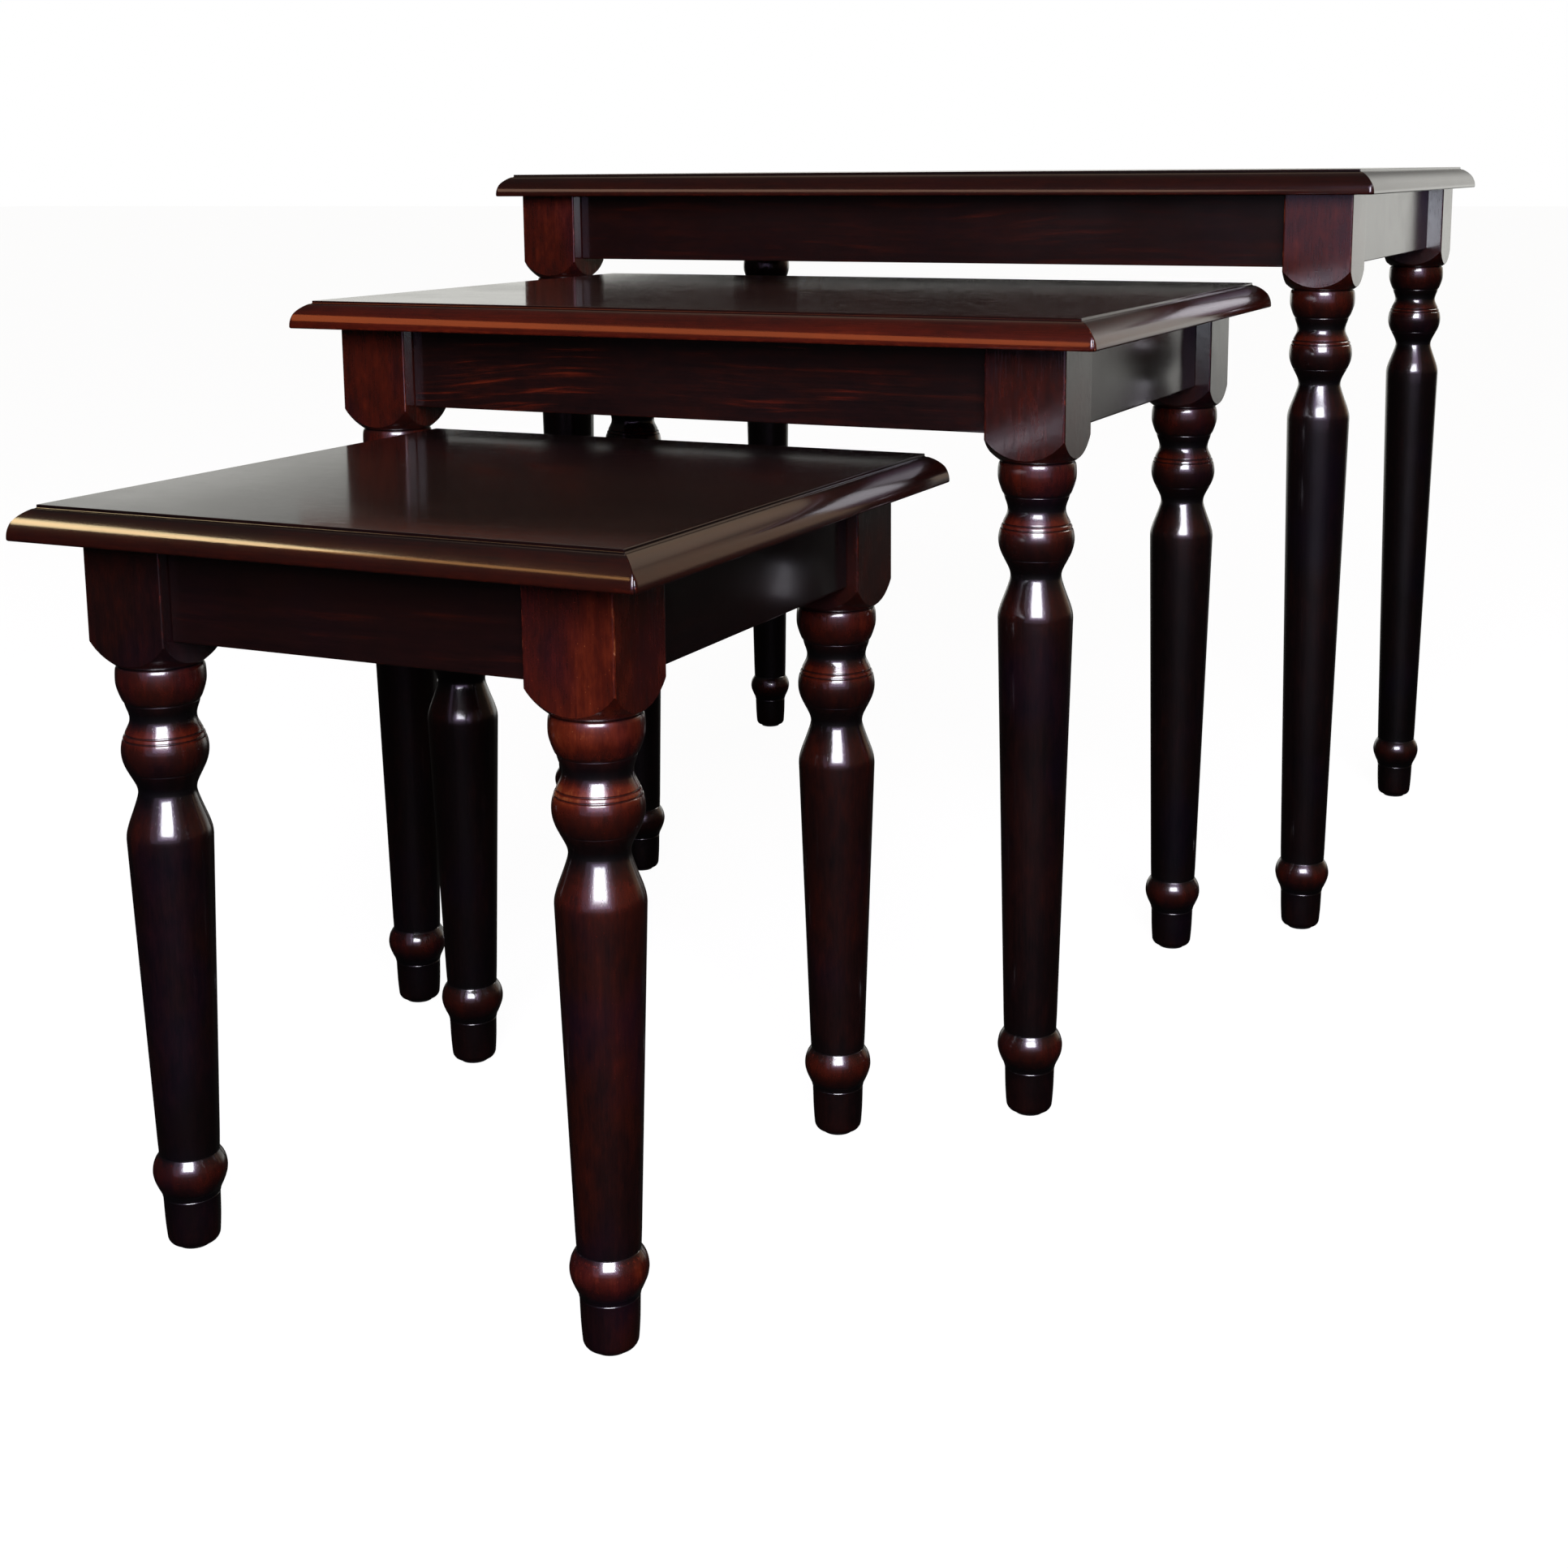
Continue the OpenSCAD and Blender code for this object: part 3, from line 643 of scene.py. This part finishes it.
for table, body in TABLES:
    for corner, turn in TURN.items():
        node = f"{table}_leg_{corner}"
        lo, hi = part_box(node)
        leg = build_leg(
            f"{node}_turned",
            (lo.x + hi.x) / 2 / MM,
            (lo.y + hi.y) / 2 / MM,
            hi.z / MM,
            turn,
            HEAD_TONE[table][corner],
            TURN_TONE[table][corner],
            TAPER_TONE[table][corner],
        )
        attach(leg, body)
        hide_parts(node)


# ------------------------------------------------------------------
# edge mouldings
# ------------------------------------------------------------------
MOULD_W = 12.0
MOULD_H = 16.7
NOSE_R = 3.0


def mould_profile():
    """(inset, height, tone, cavity, arris) round the visible section."""
    # the underside and the quirk under the top get painted shade through the recess mask
    pts = [(MOULD_W - 0.01, 0.0, 0.25, 0.5, 0), (6.0, 0.0, 0.3, 0, 0), (1.4, 0.0, 0.36, 0, 0.1)]
    for k in range(1, 6):
        a = math.radians(90 * k / 6)
        pts.append((1.2 - 1.2 * math.sin(a), 1.2 - 1.2 * math.cos(a), 0.46, 0, 0.25))
    for k in range(0, 25):
        a = 90 * k / 24
        inset = 10.4 - 10.4 * math.cos(math.radians(a))
        height = 1.2 + (MOULD_H - 2) * (math.sin(math.radians(a)) / 2 + a / 180)
        tone = 0.48 - 0.10 * k / 24
        pts.append((inset, height, tone, 0.0 if k < 22 else 0.3, 0.12 if k < 2 else 0.0))
    for k in range(1, 7):
        a = math.radians(15 * k)
        pts.append(
            (10.4 + 1.6 * math.sin(a) - 0.01 * k / 6, MOULD_H - 0.8 * math.cos(a), 0.36, 0.5, 0.0)
        )
    return pts


PROFILE = mould_profile()


def profile_normals():
    """Outward normal of the section at each point, in (inset, height)."""
    p = np.array([(a, b) for a, b, *_ in PROFILE])
    t = np.gradient(p, axis=0)
    nrm = np.stack([-t[:, 1], t[:, 0]], -1)
    nrm /= np.linalg.norm(nrm, axis=1)[:, None] + 1e-12
    # the section is walked from the bottom inside, out and up
    if nrm[8][0] > 0:
        nrm = -nrm
    return nrm


P_NORMALS = profile_normals()


def build_moulding(name, length, place, mat, tone_shift):
    """A mitred strip. place(s, inset, height) gives a point in mm: s runs
    along the strip from -length/2 to length/2."""
    half = length / 2
    gap = 0.05
    cols = []  # functions of (inset) giving (s, inset)
    stations = list(np.linspace(-1, 1, 17))
    arcs = 5

    def station(side, k):
        """k from 0 (start of the rounded corner) to arcs (the mitre)."""
        def f(u):
            if u < NOSE_R:
                a = math.radians(45.0 * k / arcs)
                r = NOSE_R - u
                s = half - NOSE_R + r * math.sin(a)
                v = NOSE_R - r * math.cos(a)
            else:
                s = (half - u) - (1 - k / arcs) * 1.2
                v = u
            if k == arcs:
                s -= gap
            return side * s, v
        return f

    def straight(x):
        def f(u):
            return x * (half - max(NOSE_R, u) - 1.3), u
        return f

    table_cols = [station(-1, arcs - k) for k in range(arcs + 1)]
    table_cols += [straight(x) for x in stations]
    table_cols += [station(1, k) for k in range(arcs + 1)]
    n = len(table_cols)
    m = len(PROFILE)
    verts, tone, glaze_shade, arr = [], [], [], []
    for c, f in enumerate(table_cols):
        end = c in (0, n - 1)
        near = c in (1, n - 2)
        for j, (u, v, t0, glaze_shade0, a0) in enumerate(PROFILE):
            uu, vv = u, v
            if end:  # the mitre's edges are softened
                uu = u - P_NORMALS[j][0] * 0.16
                vv = v - P_NORMALS[j][1] * 0.16
                uu = max(0.0, min(MOULD_W - 0.01, uu))
                vv = max(0.0, vv)
            s, w = f(uu)
            verts.append(place(s, w, vv))
            tone.append(t0 + tone_shift)
            glaze_shade.append(max(glaze_shade0, 0.9 if end else 0.0))
            arr.append(max(a0, 1.0 if near else (0.4 if c in (2, n - 3) else 0.0)))
    faces = []
    for c in range(n - 1):
        for j in range(m):
            j2 = (j + 1) % m
            faces.append((c * m + j, (c + 1) * m + j, (c + 1) * m + j2, c * m + j2))
    faces.append(tuple(range(m))[::-1] if False else tuple(range(m)))
    faces.append(tuple((n - 1) * m + j for j in range(m))[::-1])
    obj = make_object(
        name,
        np.array(verts) * MM,
        faces,
        {"tone": tone, "glaze_and_shade": glaze_shade, "arris": arr},
        sharp=40,
    )
    fix_normals(obj)
    obj.data.materials.append(mat)
    return obj


def fix_normals(obj):
    import bmesh

    bm = bmesh.new()
    bm.from_mesh(obj.data)
    bmesh.ops.recalc_face_normals(bm, faces=bm.faces)
    bm.to_mesh(obj.data)
    bm.free()
    obj.data.update()


MOULD_TONE = {"small": 0.0, "medium": 0.15, "large": 0.0}
tops = {}
for table, body in TABLES:
    f_lo, f_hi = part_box(f"{table}_edge_front")
    b_lo, b_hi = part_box(f"{table}_edge_back")
    x0, x1 = f_lo.x / MM, f_hi.x / MM
    y0, y1 = f_lo.y / MM, b_hi.y / MM
    under = f_lo.z / MM
    p_lo, p_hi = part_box(f"{table}_top_panel")
    tops[table] = (x0, x1, y0, y1, under, p_hi.z / MM)
    mx, my = (x0 + x1) / 2, (y0 + y1) / 2
    sides = {
        "front": (x1 - x0, lambda s, w, v, a=mx, b=y0, c=under: (a + s, b + w, c + v), "mould_x"),
        "back": (x1 - x0, lambda s, w, v, a=mx, b=y1, c=under: (a - s, b - w, c + v), "mould_x"),
        "right": (y1 - y0, lambda s, w, v, a=x1, b=my, c=under: (a - w, b + s, c + v), "mould_y"),
        "left": (y1 - y0, lambda s, w, v, a=x0, b=my, c=under: (a + w, b - s, c + v), "mould_y"),
    }
    for side, (length, place, mat) in sides.items():
        node = f"{table}_edge_{side}"
        piece = build_moulding(f"{node}_moulding", length, place, MAT[mat], MOULD_TONE[table])
        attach(piece, body)
        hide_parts(node)


# ------------------------------------------------------------------
# boards: top panels and aprons, with eased arrises
# ------------------------------------------------------------------
def build_board(name, lo, hi, ease, mat, tone, cut=12, arris=1.0, crown=0.0):
    """A board between two corners in mm, with rounded arrises of radius ease
    and a fine grid of points on its broad faces."""
    lo, hi = np.array(lo, float), np.array(hi, float)
    size = hi - lo
    axes = []
    for k in range(3):
        n = max(1, int(round(size[k] / (max(size) / cut))))
        inner = np.linspace(ease, size[k] - ease, n + 1)
        inner = [inner[0], ease + 0.5] + list(inner[1:-1]) + [size[k] - ease - 0.5, inner[-1]]
        rim = [ease * (1 - math.tan(math.radians(a))) for a in (45, 30, 15)]
        coords = rim + list(inner) + [size[k] - r for r in rim[::-1]]
        axes.append(np.array(coords))
    verts, index = [], {}
    counts = [len(a) for a in axes]

    def vertex(i, j, k):
        key = (i, j, k)
        if key in index:
            return index[key]
        p = np.array([axes[0][i], axes[1][j], axes[2][k]])
        inner_p = np.clip(p, ease, size - ease)
        d = p - inner_p
        length = np.linalg.norm(d)
        if length > 1e-9:
            d = d / length * ease
        index[key] = len(verts)
        verts.append(lo + inner_p + d)
        return index[key]

    faces = []
    for a in range(3):
        b, c = (a + 1) % 3, (a + 2) % 3
        for end in (0, counts[a] - 1):
            for j in range(counts[b] - 1):
                for k in range(counts[c] - 1):
                    quad = []
                    for dj, dk in ((0, 0), (1, 0), (1, 1), (0, 1)):
                        ijk = [0, 0, 0]
                        ijk[a], ijk[b], ijk[c] = end, j + dj, k + dk
                        quad.append(vertex(*ijk))
                    if end == 0:
                        quad.reverse()
                    faces.append(quad)
    verts = np.array(verts)
    # how near each point is to an arris
    near = np.zeros(len(verts))
    for i, v in enumerate(verts):
        d = np.minimum(v - lo, hi - v)
        d = np.sort(d)
        near[i] = 1.0 if d[1] < ease * 0.75 else 0.0
    obj = make_object(
        name,
        verts * MM,
        faces,
        {
            "tone": np.full(len(verts), tone),
            "glaze_and_shade": np.zeros(len(verts)),
            "arris": near * arris,
        },
        sharp=60,
    )
    obj.data.materials.append(mat)
    return obj


def rail_finish(table, side):
    if side in ("left", "right"):
        return "apron_y"
    return "apron_m" if table == "medium" else "apron_x"


PANEL_TONE = {"small": 0.25, "medium": 0.36, "large": 0.33}
APRON_TONE = {
    "small": {"front": 0.30, "back": 0.28, "left": 0.28, "right": 0.22},
    "medium": {"front": 0.35, "back": 0.30, "left": 0.30, "right": 0.26},
    "large": {"front": 0.36, "back": 0.30, "left": 0.30, "right": 0.28},
}
for table, body in TABLES:
    node = f"{table}_top_panel"
    lo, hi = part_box(node)
    board = build_board(
        f"{node}_veneered",
        np.array(lo) / MM,
        np.array(hi) / MM,
        0.35,
        MAT["panel"],
        PANEL_TONE[table],
        cut=30,
        arris=0.25,
    )
    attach(board, body)
    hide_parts(node)
    for side in ("front", "back", "left", "right"):
        node = f"{table}_apron_{side}"
        lo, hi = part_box(node)
        board = build_board(
            f"{node}_rail",
            np.array(lo) / MM,
            np.array(hi) / MM,
            0.9,
            MAT[rail_finish(table, side)],
            APRON_TONE[table][side],
            cut=24,
            arris=0.35,
        )
        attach(board, body)
        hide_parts(node)

# ------------------------------------------------------------------
# CAD nodes that stay, with their finish
# ------------------------------------------------------------------
for table, body in TABLES:
    for part, mat in (
        ("corner_braces", "raw"),
        ("hanger_bolts", "zinc"),
        ("washers", "zinc"),
        ("nuts", "zinc"),
        ("brace_screws", "zinc"),
        ("top_screws", "zinc"),
        ("glides", "nylon"),
    ):
        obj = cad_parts[f"{table}_{part}"]
        obj.data.materials.clear()
        obj.data.materials.append(MAT[mat])

# ------------------------------------------------------------------
# stage: floor, world, lights
# ------------------------------------------------------------------
def floor_material():
    m = bpy.data.materials.new("pale_floor")
    m.use_nodes = True
    nt = m.node_tree
    nt.nodes.clear()
    out = nt.nodes.new("ShaderNodeOutputMaterial")
    dif = nt.nodes.new("ShaderNodeBsdfDiffuse")
    dif.inputs["Color"].default_value = (0.12, 0.12, 0.12, 1)
    emi = nt.nodes.new("ShaderNodeEmission")
    emi.inputs["Color"].default_value = (1, 1, 1, 1)
    emi.inputs["Strength"].default_value = 0.96
    add = nt.nodes.new("ShaderNodeAddShader")
    nt.links.new(dif.outputs[0], add.inputs[0])
    nt.links.new(emi.outputs[0], add.inputs[1])
    nt.links.new(add.outputs[0], out.inputs[0])
    return m


bpy.ops.mesh.primitive_plane_add(size=60, location=(0, 0, -0.0005))
floor = bpy.context.object
floor.name = "stage_floor"
floor.data.materials.append(floor_material())
floor.visible_glossy = False
floor.visible_diffuse = False


def build_world():
    w = bpy.data.worlds.new("studio")
    bpy.context.scene.world = w
    w.use_nodes = True
    nt = w.node_tree
    nt.nodes.clear()

    def node(kind):
        return nt.nodes.new(kind)

    def link(a, b):
        nt.links.new(a, b)

    def mth(op, a, b=0.0, c=None):
        n = node("ShaderNodeMath")
        n.operation = op
        for s, v in zip(n.inputs, (a, b, c)):
            if v is None:
                continue
            if isinstance(v, (int, float)):
                s.default_value = v
            else:
                link(v, s)
        return n.outputs[0]

    def mapr(v, a, b, c, d):
        n = node("ShaderNodeMapRange")
        n.interpolation_type = "SMOOTHSTEP"
        link(v, n.inputs[0])
        for i, x in enumerate((a, b, c, d)):
            n.inputs[i + 1].default_value = x
        return n.outputs[0]

    tc = node("ShaderNodeTexCoord")
    sep = node("ShaderNodeSeparateXYZ")
    link(tc.outputs["Generated"], sep.inputs[0])
    yaw = mth("MULTIPLY", mth("ARCTAN2", sep.outputs[0], sep.outputs[1]), 57.29578)
    el = mth("MULTIPLY", mth("ARCSINE", sep.outputs[2]), 57.29578)
    # a pale wall behind the tables, from the left round to the right
    wall = mth("MULTIPLY", mapr(yaw, -62, -46, 0, 1), mapr(yaw, 12, 27, 1, 0))
    rise = mth("MULTIPLY", mapr(el, -12, -1, 0.15, 1), mapr(el, 11, 19, 1, 0.10))
    low = mapr(el, -16, -5, 0.06, 1)
    wall = mth("MULTIPLY", wall, mth("MULTIPLY", rise, low))
    wall = mth("MULTIPLY", wall, mapr(el, 0.5, 2.0, 1, 0.76))
    # higher up its bright part ends sooner, along a slope
    slope = mapr(mth("MULTIPLY_ADD", el, 3.4, yaw), -14.5, -10.0, 0, 1)
    high = mth("MULTIPLY", mapr(el, 5.0, 6.4, 0, 1), mapr(yaw, -5, 6, 1, 0))
    wall = mth("MULTIPLY", wall, mth("MULTIPLY_ADD", mth("MULTIPLY", slope, high), -0.75, 1.0))
    # a warm glow to the right of it, over the horizon, and above it
    side = mth("MULTIPLY", mapr(yaw, 12, 24, 0, 1), mapr(el, -5, 4, 0, 1))
    glow = mth("MAXIMUM", side, mapr(el, 21, 28, 0, 1))
    glow = mth("MULTIPLY", glow, mth("MULTIPLY", mapr(yaw, -60, -35, 0, 1), mapr(yaw, 31, 46, 1, 0.12)))
    glow = mth("MULTIPLY", glow, mapr(el, 45, 65, 1, 0))
    # dim room everywhere else, lighter overhead
    room = mapr(el, 0, 80, 0.012, 0.06)
    room = mth("MULTIPLY", room, mapr(el, -20, 0, 0.5, 1))

    def tint(strength, colour):
        n = node("ShaderNodeVectorMath")
        n.operation = "SCALE"
        n.inputs[0].default_value = colour
        link(strength, n.inputs["Scale"])
        return n.outputs[0]

    def both(a, b):
        n = node("ShaderNodeVectorMath")
        n.operation = "ADD"
        link(a, n.inputs[0])
        link(b, n.inputs[1])
        return n.outputs[0]

    total = both(tint(wall, (1.04, 1.04, 0.99)), tint(glow, (0.47, 0.325, 0.22)))
    total = both(total, tint(room, (1.0, 0.92, 0.88)))
    bg = node("ShaderNodeBackground")
    link(total, bg.inputs["Color"])
    bg.inputs["Strength"].default_value = 1.0
    white = node("ShaderNodeBackground")
    white.inputs["Color"].default_value = (1, 1, 1, 1)
    white.inputs["Strength"].default_value = 1.0
    lp = node("ShaderNodeLightPath")
    mix = node("ShaderNodeMixShader")
    link(lp.outputs["Is Camera Ray"], mix.inputs[0])
    link(bg.outputs[0], mix.inputs[1])
    link(white.outputs[0], mix.inputs[2])
    out = node("ShaderNodeOutputWorld")
    link(mix.outputs[0], out.inputs[0])


build_world()


def area(name, at, target, width, height, radiance, colour, spread=None):
    """An area light of a given radiance, aimed at a point, unseen by the camera."""
    data = bpy.data.lights.new(name, "AREA")
    data.shape = "RECTANGLE"
    data.size = width
    data.size_y = height
    data.energy = radiance * math.pi * width * height
    data.color = colour
    if spread is not None:
        data.spread = math.radians(spread)
    obj = bpy.data.objects.new(name, data)
    obj.location = at
    obj.rotation_mode = "QUATERNION"
    obj.rotation_quaternion = (Vector(target) - Vector(at)).to_track_quat("-Z", "Y")
    obj.visible_camera = False
    bpy.context.scene.collection.objects.link(obj)
    return obj


def from_point(point, azimuth, elevation, distance):
    """A place seen from point at an azimuth (0 is -Y, positive to +X)."""
    a, e = math.radians(azimuth), math.radians(elevation)
    return (
        point[0] + distance * math.sin(a) * math.cos(e),
        point[1] - distance * math.cos(a) * math.cos(e),
        point[2] + distance * math.sin(e),
    )


def strip(name, a, b, target, thick, radiance, colour):
    """A long area light from a to b, facing target."""
    a, b, target = Vector(a), Vector(b), Vector(target)
    x = (b - a).normalized()
    mid = (a + b) / 2
    z = -(target - mid)
    z = (z - x * z.dot(x)).normalized()
    y = z.cross(x)
    obj = area(name, mid, target, (b - a).length, thick, radiance, colour)
    rot = Matrix((x, y, z)).transposed().to_quaternion()
    obj.rotation_quaternion = rot
    return obj


def only_on(light, names):
    """Keep a light to the named pieces."""
    lit = bpy.data.collections.new(light.name + "_on")
    for name in names:
        lit.objects.link(bpy.data.objects[name])
    light.light_linking.receiver_collection = lit


CORNERS = ("front_left", "front_right", "back_right", "back_left")
LEGS = [f"{table}_leg_{corner}_turned" for table, _ in TABLES for corner in CORNERS]
RAILS = [f"{table}_apron_{side}_rail" for table, _ in TABLES for side in ("front", "right")]

LEG = (0.14, -0.58, 0.30)
area("key", from_point(LEG, 28, 30, 2.6), LEG, 1.75, 1.50, 12.5, (0.92, 0.94, 1.0))
area("key_halo", from_point(LEG, 28, 29, 2.7), LEG, 2.75, 2.50, 2.2, (0.76, 0.56, 1.0))
# seen only in the gloss: the white heart of the highlights and the haze about them
heart = area("key_heart", from_point(LEG, 28, 29, 2.5), LEG, 1.45, 1.25, 16.0, (0.95, 0.96, 1.0))
haze = area("key_haze", from_point(LEG, 24, 26, 2.8), LEG, 5.2, 3.6, 0.48, (0.84, 0.62, 1.0))
only_on(heart, LEGS)
only_on(haze, LEGS)
# soft light from behind for the backs of the tables
back = area("back", (0.9, 3.2, 2.4), (0.0, 0.3, 0.35), 1.8, 1.4, 6.0, (1.0, 0.95, 0.90))
BACKS = [f"{table}_apron_{side}_rail" for table, _ in TABLES for side in ("back", "left")]
BACKS += [f"{table}_edge_{side}_moulding" for table, _ in TABLES for side in ("back", "left")]
only_on(back, LEGS + BACKS)
# a lamp beside the lens, which comes back out of the corners between leg and apron
lamp = area("lamp", (0.66, -1.52, 0.53), (0.20, 0.40, 0.53), 0.34, 0.34, 15.0, (0.86, 0.90, 1.0))
only_on(lamp, RAILS)
# the stripes along the front mouldings
gold = strip("gold", (-2.42, -0.76, 2.14), (-1.35, -1.95, 1.74), (0.0, -0.63, 0.41), 0.48, 8.5, (1.0, 0.80, 0.46))
gold.data.shape = "ELLIPSE"
amber = strip("amber", (-2.06, -1.155, 2.015), (-0.86, -2.48, 1.545), (0.0, -0.63, 0.41), 0.24, 4.2, (1.0, 0.50, 0.18))
only_on(gold, ["small_edge_front_moulding"])
only_on(amber, ["small_edge_front_moulding"])
ember = strip("ember", (-0.30, -2.60, 1.10), (-2.00, -1.20, 1.90), (0.0, -0.27, 0.49), 0.75, 3.4, (1.0, 0.23, 0.07))
only_on(ember, ["medium_edge_front_moulding"])
dusk = strip("dusk", (-0.30, -2.20, 1.10), (-2.00, -0.80, 1.60), (0.0, 0.15, 0.57), 0.45, 2.2, (1.0, 0.60, 0.42))
only_on(dusk, ["large_edge_front_moulding"])
for light in (heart, haze, lamp, gold, amber):
    light.visible_diffuse = False

# ------------------------------------------------------------------
# camera
# ------------------------------------------------------------------
cam_data = bpy.data.cameras.new("camera")
cam = bpy.data.objects.new("camera", cam_data)
bpy.context.scene.collection.objects.link(cam)
yaw, pitch, roll = -0.44558, -0.18031, -0.00794
fw = Vector((math.sin(yaw) * math.cos(pitch), math.cos(yaw) * math.cos(pitch), math.sin(pitch)))
right = Vector((math.cos(yaw), -math.sin(yaw), 0.0))
up = right.cross(fw)
r_axis = right * math.cos(roll) + up * math.sin(roll)
u_axis = up * math.cos(roll) - right * math.sin(roll)
m = Matrix.Identity(4)
for i in range(3):
    m[i][0], m[i][1], m[i][2] = r_axis[i], u_axis[i], -fw[i]
m.translation = Vector((0.66762, -1.45591, 0.58359))
cam.matrix_world = m
cam_data.sensor_width = 36.0
cam_data.lens = 2701.58 / 1932 * 36.0
cam_data.shift_x = 0.0
cam_data.shift_y = -0.1377
cam_data.clip_start = 0.05
cam_data.clip_end = 100
cam_data.dof.use_dof = False
bpy.context.scene.camera = cam

bpy.context.scene.view_settings.view_transform = "Standard"
bpy.context.scene.view_settings.look = "None"
